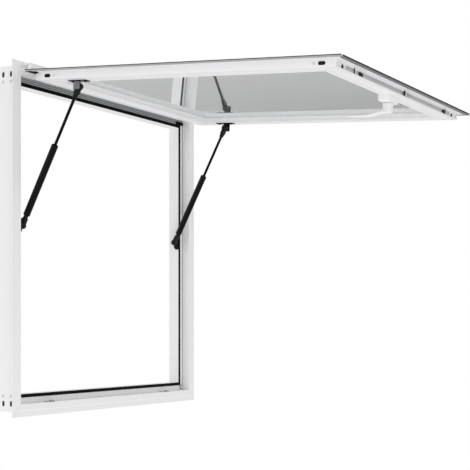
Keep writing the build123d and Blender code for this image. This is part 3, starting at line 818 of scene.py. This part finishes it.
class WINDOW_OT_screws(bpy.types.Operator):
    """Seat the screws of the frame, the leaf, the struts and the lock"""

    bl_idname = "window.screws"
    bl_label = "Screws"

    def execute(self, context):
        sizes = context.scene.window_screws
        look = context.scene.window_finish
        zinc = brushed_metal("Bright zinc screw", look.screw, look.brush_spacing, 0.3, (0, 0, 0))
        white = powder_coat("Painted screw head", look.screw_paint, look.coat_grain, 0.35)
        black = painted_steel("Black screw head", look.steel, look.coat_grain, 0.25)
        domed, flat = sizes.height_share, 0.1
        kinds = {
            "jamb": (self.in_jambs(), "window_frame", sizes.frame_head, white, domed),
            "stile": (self.in_stiles(), "leaf", sizes.leaf_head, white, domed),
            "bracket": (self.in_brackets(), "leaf", sizes.leaf_head, black, domed),
            "foot": (self.in_feet(), "window_frame", sizes.leaf_head, black, domed),
            "keeper": (self.in_keepers(), "window_frame", sizes.small_head, zinc, flat),
            "guide": (self.in_guides(), "leaf", sizes.small_head, zinc, flat),
            "latch": (self.in_latch(), "lock", sizes.small_head, black, flat),
        }
        tree = pan_head_tree()
        for name, (places, body, head, finish, share) in kinds.items():
            made = places_at(f"{name}_screws", [point for point, _ in places])
            facing = made.data.attributes.new("facing", "FLOAT_VECTOR", "POINT")
            facing.data.foreach_set("vector", [c for _, way in places for c in way])
            settings = {
                "Head Diameter": head, "Head Height": head * share, "Turn Seed": sizes.seed,
                "Finish": finish,
            }
            settle(made, tree, settings, body)
        return {"FINISHED"}

    def in_jambs(self):
        """Places and facings of the screws beside the jambs' slots."""
        from_end, rows = 54 * MM, (14 * MM, 39 * MM)
        places = []
        for side, way in SIDES:
            low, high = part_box(f"frame_jamb_{side}")
            for y in rows:
                for z in (low.z + from_end, high.z - from_end):
                    places.append((Vector((way * (half_frame - web_inset), y, z)), across * way))
        return places

    def in_stiles(self):
        """Places and facings of the screws in the stiles' flanks."""
        ends = (78.6 * MM, 804 * MM)
        return [
            (on_leaf(way * (half_frame - box_inset), along, flank_level), across * way)
            for _, way in SIDES for along in ends
        ]

    def in_brackets(self):
        """Places and facings of the screws through the strut brackets' plates."""
        spread, level = 20 * MM, -36.8 * MM
        start, end = leaf_reach("strut_bracket_left")[:2]
        return [
            (
                on_leaf(box_middle(f"strut_bracket_{side}").x, (start + end) / 2 + shift, level),
                -skin_normal,
            )
            for side, _ in SIDES for shift in (-spread, spread)
        ]

    def in_feet(self):
        """Places and facings of the screws through the strut feet."""
        spread = 15.5 * MM
        return [
            (foot_face(side, way) + upward * shift, across * -way)
            for side, way in SIDES for shift in (-spread, spread)
        ]

    def in_keepers(self):
        """Places and facings of the screws through the keepers."""
        from_end, y, rise = 5 * MM, 3 * MM, 34.2 * MM
        lows = [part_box(f"lock_keeper_{side}")[0] for side, _ in SIDES]
        return [(Vector((low.x + from_end, y, frame_low.z + rise)), upward) for low in lows]

    def in_guides(self):
        """Places and facings of the screws in the lock's guides."""
        face = leaf_reach("lock_guide_left")[1]
        places = []
        for side, _ in SIDES:
            low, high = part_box(f"lock_guide_{side}")
            for share in (0.25, 0.75):
                x = low.x + (high.x - low.x) * share
                places.append((on_leaf(x, face, groove_level), outward))
        return places

    def in_latch(self):
        """Places and facings of the screws in the latch block."""
        start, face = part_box("latch_block")[0].x, leaf_reach("latch_block")[1]
        return [(on_leaf(start + x, face, groove_level), outward) for x in (19 * MM, 31 * MM)]


def hairline(start, end, face, wide):
    """Rings of a thin flat line on a face, a hair proud of it."""
    sideways = (end - start).cross(face).normalized() * wide / 2
    proud = face.normalized() * 0.05 * MM
    return [
        [at - sideways - proud, at - sideways + proud, at + sideways + proud, at + sideways - proud]
        for at in (start, end)
    ]


class WINDOW_OT_joint_lines(bpy.types.Operator):
    """Draw the mitred corners, the lines between the sections, and lines of painted shade where grooves run round
    the opening
    """

    bl_idname = "window.joint_lines"
    bl_label = "Joint lines"

    def execute(self, context):
        look = context.scene.window_finish
        joint = rubber_skin("Joint lines and groove shade", look.joint, look.rubber_grain, 0.7)
        corners = [(x, z) for x in (-1, 1) for z in (-1, 1)]
        skinned("frame_joint_lines", self.frame_mitres(corners, look.joint_width), joint, "window_frame")
        # The groove lines are painted shade, twice as wide as the joints and in their grey
        leaf_lines = self.leaf_mitres(corners, look.joint_width) + self.grooves(2 * look.joint_width)
        skinned("leaf_joint_lines", leaf_lines, joint, "leaf")
        return {"FINISHED"}

    def frame_mitres(self, corners, wide):
        """Rings of the lines over the flange, the face and the back: inset from, to and depth."""
        stretches = (
            (0.3 * MM, web_inset, -2 * MM, -inside),
            (17.2 * MM, face_inset, -3 * MM, -inside),
            (14.2 * MM, 57 * MM, 54.95 * MM, inside),
        )
        runs = []
        for x, z in corners:
            outer = across * x + upward * z
            for low, high, y, face in stretches:
                ends = [frame_middle + outer * (half_frame - inset) + inside * y for inset in (low, high)]
                runs.append(hairline(*ends, face, wide))
        return runs

    def leaf_mitres(self, corners, wide):
        """Rings of the lines at the leaf's corners, on its inner face and its skin."""
        spans = {-1: (opening_start, box_start, lip_start), 1: (opening_end, box_end, lip_end)}
        opening_x, box_x, lip_x = (half_frame - inset for inset in (opening_inset, box_inset, lip_inset))
        runs = []
        for x, end in corners:
            opening, box, lip = spans[end]
            for level, stop, face in (
                (inner_level, (x * box_x, box), -skin_normal), (skin_level, (x * lip_x, lip), skin_normal),
            ):
                start = on_leaf(x * opening_x, opening, level)
                runs.append(hairline(start, on_leaf(*stop, level), face, wide))
        return runs

    def grooves(self, wide):
        """Rings of two grey lines round the opening on the leaf's inner face: painted shade where two grooves run.
        """
        runs = []
        for step in (14 * MM, 42 * MM):
            x = half_frame - opening_inset + step
            low, high = opening_start - step, opening_end + step
            corners = [(-x, low), (x, low), (x, high), (-x, high)]
            for start, end in zip(corners, corners[1:] + corners[:1]):
                ends = [on_leaf(*corner, inner_level) for corner in (start, end)]
                runs.append(hairline(*ends, -skin_normal, wide))
        return runs


class WINDOW_OT_inserts(bpy.types.Operator):
    """Set the black rims of painted shade in the drain slots, the plugs and the lock's small rubber pieces"""

    bl_idname = "window.inserts"
    bl_label = "Inserts and plugs"

    def execute(self, context):
        nylon = bpy.data.materials["Glass-filled nylon"]
        sizes = context.scene.window_inserts
        rail_face = leaf_reach("lock_guide_left")[1]
        # The black rims round the drain slots are painted shade that makes the slots look larger
        skinned("drain_slot_shade_rims", self.drain_slot_shade_rims(sizes), nylon, "leaf")
        skinned("end_plugs", self.end_plugs(sizes.plug_diameter / 2, rail_face), nylon, "leaf")
        skinned("lock_carriages", self.carriages(sizes, rail_face), nylon, "lock")
        skinned("guide_bumpers", self.guide_bumpers(rail_face), nylon, "leaf")
        return {"FINISHED"}

    def drain_slot_shade_rims(self, sizes):
        """Rings of the hollow black rims in the stiles' drain slots: painted shade that widens each slot's dark.
        """
        slots = (58.6 * MM, 824 * MM)
        rises_and_cuts = in_mm(((-1.2, 0), (0.25, 0), (0.45, 0.8), (0.45, 4), (-1.0, 4.4)))
        runs = []
        for _, way in SIDES:
            for along in slots:
                rings = []
                for rise, cut in rises_and_cuts:
                    middle = on_leaf(way * (half_frame - box_inset + rise), along, flank_level)
                    long, wide = sizes.slot_rim_length - cut, sizes.slot_rim_width - cut
                    rings.append(slot_ring(middle, outward, skin_normal, long, wide))
                runs.append(rings)
        return runs

    def end_plugs(self, r, face):
        """Rings of the dished plugs near the free rail's ends."""
        inset = 78.5 * MM
        sunk, seat, rim, lip, floor = -4.2 * MM, -3.2 * MM, -2.2 * MM, -1.8 * MM, -2.6 * MM
        profile = [
            (sunk, 0.8 * r), (seat, 0.8 * r), (seat, r), (rim, r), (lip, 0.88 * r), (lip, 0.4 * r),
            (floor, 0.36 * r),
        ]
        return [
            turned(on_leaf(way * (half_frame - inset), face, groove_level), outward, profile)
            for _, way in SIDES
        ]

    def carriages(self, sizes, face):
        """Rings of the carriages under the roller cams, and of the latch block's bumper."""
        lifts_and_cuts = in_mm(((-1.5, 0), (0.1, 0), (0.3, 0.5)))
        runs = []
        for side, _ in SIDES:
            x = box_middle(f"roller_cam_{side}").x
            rings = []
            for lift, cut in lifts_and_cuts:
                long, wide = sizes.carriage_length - cut, sizes.carriage_width - cut
                middle = on_leaf(x, face + lift, groove_level)
                rings.append(round_ring(middle, across, skin_normal, long, wide, 7, 32))
            runs.append(rings)
        start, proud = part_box("latch_block")[0].x, 0.2 * MM
        top = leaf_reach("latch_block")[1] + proud
        runs.append(self.bumper(start - 3.2 * MM, start + 0.3 * MM, face + 0.3 * MM, top))
        return runs

    def guide_bumpers(self, face):
        """Rings of the bumpers at the guides' ends towards the middle."""
        thick = 3.6 * MM
        runs = []
        for side, way in SIDES:
            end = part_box(f"lock_guide_{side}")[0 if way > 0 else 1].x
            runs.append(self.bumper(end, end - way * thick, face - 0.2 * MM, face + 1.2 * MM))
        return runs

    def bumper(self, start, end, base, top):
        """Rings of a rubber stop across the groove."""
        middle, wide = on_leaf(0, (base + top) / 2, -26 * MM), 13 * MM
        return slab(middle, across, (start, end), outward, skin_normal, top - base, wide)


class WINDOW_OT_struts(bpy.types.Operator):
    """Dress the gas struts: collars, rod wipers, socket clips, grey plates of painted sheen on the bracket tabs,
    and foot rings
    """

    bl_idname = "window.struts"
    bl_label = "Struts"

    def execute(self, context):
        look = context.scene.window_finish
        paint, rubber = bpy.data.materials["Baked enamel on steel"], bpy.data.materials["EPDM seal"]
        spring = brushed_metal("Spring wire", look.cam, look.brush_spacing, 0.34, (0, 0, 0))
        # The grey plates on the bracket tabs are painted sheen
        plain = brushed_metal("Grey plate of painted sheen", look.sheen_plate, look.brush_spacing, 0.4, (0, 0, 0))
        for side, way in SIDES:
            barrel, rod = f"strut_barrel_{side}", f"strut_rod_{side}"
            top = Vector(joints[f"strut_swing_{side}"]["pos_m"])
            along = Vector(joints[f"strut_stroke_{side}"]["axis"]).normalized()
            low = box_middle(f"strut_lower_stud_{side}")
            low.x = top.x
            reach = [(v.co - low).dot(along) for v in cad[barrel].data.vertices]
            start, end = low + along * min(reach), low + along * max(reach)
            skinned(f"barrel_collars_{side}", self.collars(start, end, along), paint, barrel, bored=True)
            skinned(f"rod_wiper_{side}", [self.wiper(end, along)], rubber, barrel, bored=True)
            for name, head, body in (("lower", low, barrel), ("upper", top, rod)):
                socket = f"{name}_socket_{side}"
                clips = self.clips(f"strut_{socket}", head)
                skinned(f"socket_clips_{socket}", clips, spring, body, bored=True)
            skinned(f"bracket_painted_sheen_{side}", [self.sheen_plate(side, way)], plain, "leaf")
            skinned(f"foot_ring_{side}", [self.foot_ring(side, way)], paint, "window_frame", bored=True)
        return {"FINISHED"}

    def collars(self, start, end, along):
        """Rings of the rolled caps at a barrel's ends, and of the two beads behind the upper one."""
        cap = in_mm((
            (-0.1, 5.4), (-0.2, 8.2), (0.5, 9.15), (3, 9.3), (4.4, 9.3), (4.8, 8.9), (4.8, 5.4),
        ))
        bead = in_mm(((0, 8.7), (0.3, 9.12), (1.1, 9.12), (1.4, 8.7)))
        caps = [turned(start, along, cap), turned(end, -along, cap)]
        return caps + [turned(end - along * back, along, bead) for back in (11 * MM, 14 * MM)]

    def wiper(self, end, along):
        """Rings of the rubber wiper round the rod."""
        return turned(end, along, in_mm(((0, 4.35), (0, 7.4), (1.4, 6.8), (2.2, 5.0), (2.2, 4.35))))

    def clips(self, socket, head):
        """Rings of the two spring wires round a socket's head."""
        wire, radius, spread = 0.55 * MM, 8.65 * MM, 3.2 * MM
        middle = Vector((box_middle(socket).x, head.y, head.z))
        turns = [math.pi / 4 * step for step in range(8)]
        profiles = [
            [(shift + wire * math.sin(turn), radius + wire * math.cos(turn)) for turn in turns]
            for shift in (-spread, spread)
        ]
        return [turned(middle, across, profile, 40) for profile in profiles]

    def sheen_plate(self, side, way):
        """Rings of the grey plate on a bracket tab's outer face, which paints the sheen of the black tab."""
        long, wide, rise, proud = 19 * MM, 20 * MM, 10.6 * MM, 0.3 * MM
        start, end, level, _ = leaf_reach(f"strut_bracket_{side}")
        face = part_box(f"strut_bracket_{side}")[1 if way > 0 else 0].x
        middle = on_leaf(face, (start + end) / 2, level + rise)
        return slab(middle, across * way, (-proud, proud), outward, skin_normal, long, wide, 7)

    def foot_ring(self, side, way):
        """Rings of the raised ring on a strut foot."""
        profile = in_mm(((-0.2, 6.8), (-0.2, 11), (1.8, 11), (2.7, 10), (2.7, 6.8)))
        return turned(foot_face(side, way), across * -way, profile)


class WINDOW_OT_handle(bpy.types.Operator):
    """Replace the handle's base and lever by their cast shapes"""

    bl_idname = "window.handle"
    bl_label = "Handle"

    def execute(self, context):
        coat = bpy.data.materials["Powder-coated handle"]
        sizes = context.scene.window_handle
        axis_along = (Vector(joints["handle_turn"]["pos_m"]) - hinge_axis).dot(outward)
        base = skinned("cast_handle_base", [self.base(sizes, axis_along)], coat, "leaf", 50)
        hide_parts("handle_base")
        forms = [self.arm(axis_along), self.neck(axis_along)]
        lever = fused(skinned("cast_lever", forms, coat, "handle"), sizes.voxel, 5)
        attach(lever, "handle")
        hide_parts("handle_lever")
        return {"FINISHED"}

    def base(self, sizes, axis_along):
        """Rings of the domed base: level under the rail in mm, and shares of its length and width."""
        rail = leaf_reach("handle_base")[3]
        rings = []
        for up, long, wide in (
            (0.3, 1, 1), (-11.2, 0.99, 0.98), (-13.6, 0.972, 0.94), (-15.2, 0.93, 0.84),
            (-16.0, 0.84, 0.62),
        ):
            middle = on_leaf(0, axis_along, rail + up * MM)
            long, wide = sizes.base_length * long, sizes.base_width * wide
            rings.append(round_ring(middle, across, outward, long, wide, sizes.base_corner, 72))
        return rings

    def arm(self, axis_along):
        """Rings of the lever's arm in mm: back from the axis, level, width and height."""
        rings = []
        for back, up, wide, high in (
            (-12.2, -72.2, 9, 4), (-11, -72.2, 15, 7.5), (-7.5, -72.2, 21.5, 9), (0, -72.2, 24.6, 9),
            (12, -72.3, 24, 9), (22, -74.2, 22.4, 8.9), (34, -77.2, 20.6, 8.8), (46, -80.1, 19, 8.6),
            (58, -81.2, 17.8, 8.3), (75, -81.3, 16.4, 7.8), (92, -81.4, 15, 7.3),
            (104, -81.5, 13.6, 6.7), (109.5, -81.6, 10.6, 5.6), (112.6, -81.6, 5, 3),
        ):
            middle = on_leaf(0, axis_along - back * MM, up * MM)
            rings.append(round_ring(middle, across, skin_normal, wide * MM, high * MM, 3))
        return rings

    def neck(self, axis_along):
        """Rings of the lever's neck in mm: level and side."""
        rings = []
        for up, side in (
            (-50.8, 23), (-51.4, 24.6), (-54, 24.8), (-60, 23.6), (-65, 23.8), (-69, 24.4), (-74, 22),
        ):
            middle = on_leaf(0, axis_along, up * MM)
            rings.append(round_ring(middle, across, outward, side * MM, side * MM, 4.5))
        return rings


class WINDOW_OT_stage(bpy.types.Operator):
    """Set the camera, the lamps, the floor and the even light"""

    bl_idname = "window.stage"
    bl_label = "Studio"

    def execute(self, context):
        studio = context.scene.window_stage
        scene = context.scene
        scene.view_settings.view_transform = "Standard"
        self.set_camera(scene)

        half = studio.floor_size / 2
        drop = solid_low.z - studio.floor_drop
        corners = [(-half, -half, drop), (half, -half, drop), (half, half, drop), (-half, half, drop)]
        plane = bpy.data.meshes.new("Floor")
        plane.from_pydata(corners, [], [(0, 1, 2, 3)])
        new_object("Floor", plane)
        plane.materials.append(self.floor_finish(studio))
        scene.world = self.even_light(studio)

        key_place, front_place, fill_place = (-4.5, 0.8, 1.2), (-3.2, -3.4, -0.5), (0, -0.6, drop + 0.05)
        self.lamp("Soft key", key_place, 2.4, studio.key_power, ("glossy",))
        self.lamp("Soft front", front_place, 2, studio.front_power, ("glossy", "camera"))
        rays = ("camera", "glossy", "transmission")
        fill = self.lamp("Fill from below", fill_place, 3, studio.fill_power, rays)
        fill.rotation_euler = (math.pi, 0, 0)
        return {"FINISHED"}

    def set_camera(self, scene):
        """Camera at the photograph's angle, held level and shifted up so that uprights stay upright."""
        lens = bpy.data.cameras.new("Camera")
        lens.sensor_width = 36
        lens.lens = 97.32
        lens.shift_y = 0.1945
        scene.camera = new_object("Camera", lens)
        scene.camera.location = (-3.0304, -2.0387, 0.2261)
        scene.camera.rotation_euler = (math.pi / 2, 0, math.radians(-61.57))

    def even_light(self, studio):
        """World that lights the window evenly, and is white to the camera, in metal and through glass."""
        world = bpy.data.worlds.new("Studio")
        world.use_nodes = True
        tree = world.node_tree
        tree.nodes.clear()
        seen = self.direct_view(tree, "Is Glossy Ray")
        level = add_node(
            tree, "ShaderNodeMapRange", {"Value": seen, "To Min": studio.ambient, "To Max": 1}
        )
        light = add_node(
            tree, "ShaderNodeBackground", {"Color": (1, 1, 1, 1), "Strength": level.outputs["Result"]}
        )
        add_node(tree, "ShaderNodeOutputWorld", {"Surface": light.outputs["Background"]})
        return world

    def lamp(self, name, place, side, power, unseen):
        """Square lamp that faces the window's middle, and isn't seen by the kinds of ray named."""
        light = bpy.data.lights.new(name, "AREA")
        light.shape = "RECTANGLE"
        light.size = light.size_y = side
        light.energy = power
        made = new_object(name, light)
        made.location = place
        middle = (solid_low + solid_high) / 2
        made.rotation_euler = (middle - made.location).to_track_quat("-Z", "Y").to_euler()
        for kind in unseen:
            setattr(made, f"visible_{kind}", False)
        return made

    def direct_view(self, tree, *more):
        """One where the camera sees the surface, itself or through glass, or by the rays named."""
        rays = add_node(tree, "ShaderNodeLightPath").outputs
        seen = rays["Is Camera Ray"]
        for name in ("Is Transmission Ray", *more):
            both = add_node(tree, "ShaderNodeMath", {0: seen, 1: rays[name]}, operation="MAXIMUM")
            seen = both.outputs["Value"]
        return seen

    def floor_finish(self, studio):
        """Matte painted floor, white to the camera and mid grey where glass and metal mirror it, with painted
        shade sloping across that grey.
        """
        made, tree, shader, place = start_material("Matte studio floor")
        grain = add_node(tree, "ShaderNodeTexNoise", {"Vector": place, "Scale": 4, "Detail": 3})
        tint = shades(tree, grain.outputs["Fac"], studio.floor_tone, 0.01)
        tree.links.new(tint, shader.inputs["Base Color"])
        shader.inputs["Roughness"].default_value = 0.9
        # Painted shade on the floor as glass and metal mirror it: its level slopes across the place that the open
        # leaf mirrors, within a range
        painted_shade_slope, mirrored_place, painted_shade_range = Vector((-0.03, 0.022, 0)), Vector((13, 6.3, 0)), 0.12
        slope = add_node(
            tree, "ShaderNodeVectorMath", {0: place, 1: tuple(painted_shade_slope)}, operation="DOT_PRODUCT"
        )
        level_there = studio.mirrored - painted_shade_slope.dot(mirrored_place)
        shade = add_node(
            tree, "ShaderNodeMath", {0: slope.outputs["Value"], 1: level_there}, operation="ADD"
        )
        kept = {"Min": studio.mirrored - painted_shade_range, "Max": studio.mirrored + painted_shade_range}
        mirrored = add_node(tree, "ShaderNodeClamp", {"Value": shade.outputs["Value"], **kept})
        bounced = add_node(tree, "ShaderNodeLightPath").outputs["Diffuse Depth"]
        plain = add_node(
            tree, "ShaderNodeMath", {0: self.direct_view(tree), 1: bounced}, operation="MAXIMUM"
        )
        level = add_node(
            tree, "ShaderNodeMapRange",
            {"Value": plain.outputs["Value"], "To Min": mirrored.outputs["Result"], "To Max": 1},
        )
        glow = add_node(
            tree, "ShaderNodeEmission", {"Color": (1, 1, 1, 1), "Strength": level.outputs["Result"]}
        )
        seen = self.direct_view(tree, "Is Glossy Ray")
        faces = {0: seen, 1: shader.outputs["BSDF"], 2: glow.outputs["Emission"]}
        mix = add_node(tree, "ShaderNodeMixShader", faces)
        end = next(n for n in tree.nodes if n.type == "OUTPUT_MATERIAL")
        tree.links.new(mix.outputs["Shader"], end.inputs["Surface"])
        return made


class WINDOW_PT_panel(bpy.types.Panel):
    """Sizes, colours and steps of the window"""

    bl_label = "Concession window"
    bl_space_type = "VIEW_3D"
    bl_region_type = "UI"
    bl_category = "Window"

    def draw(self, context):
        scene = context.scene
        for key in SETTINGS:
            group = getattr(scene, key)
            box = self.layout.box()
            for name in group.__annotations__:
                box.prop(group, name)
        for step in STEPS:
            self.layout.operator(step.bl_idname)


SETTINGS = {
    "window_finish": FinishSettings,
    "window_seal": SealSettings,
    "window_inserts": InsertSettings,
    "window_handle": HandleSettings,
    "window_screws": ScrewSettings,
    "window_stage": StageSettings,
}
STEPS = (
    WINDOW_OT_finishes,
    WINDOW_OT_seals,
    WINDOW_OT_head_strip,
    WINDOW_OT_joint_lines,
    WINDOW_OT_inserts,
    WINDOW_OT_struts,
    WINDOW_OT_handle,
    WINDOW_OT_screws,
    WINDOW_OT_stage,
)


def register():
    for kind in (*SETTINGS.values(), *STEPS, WINDOW_PT_panel):
        bpy.utils.register_class(kind)
    for name, kind in SETTINGS.items():
        setattr(bpy.types.Scene, name, bpy.props.PointerProperty(type=kind))


def unregister():
    for name in SETTINGS:
        delattr(bpy.types.Scene, name)
    for kind in (WINDOW_PT_panel, *reversed(STEPS), *reversed(list(SETTINGS.values()))):
        bpy.utils.unregister_class(kind)


def main():
    """Run every step in order."""
    register()
    for step in STEPS:
        getattr(bpy.ops.window, step.bl_idname.split(".")[1])()


if __name__ == "__main__":
    main()
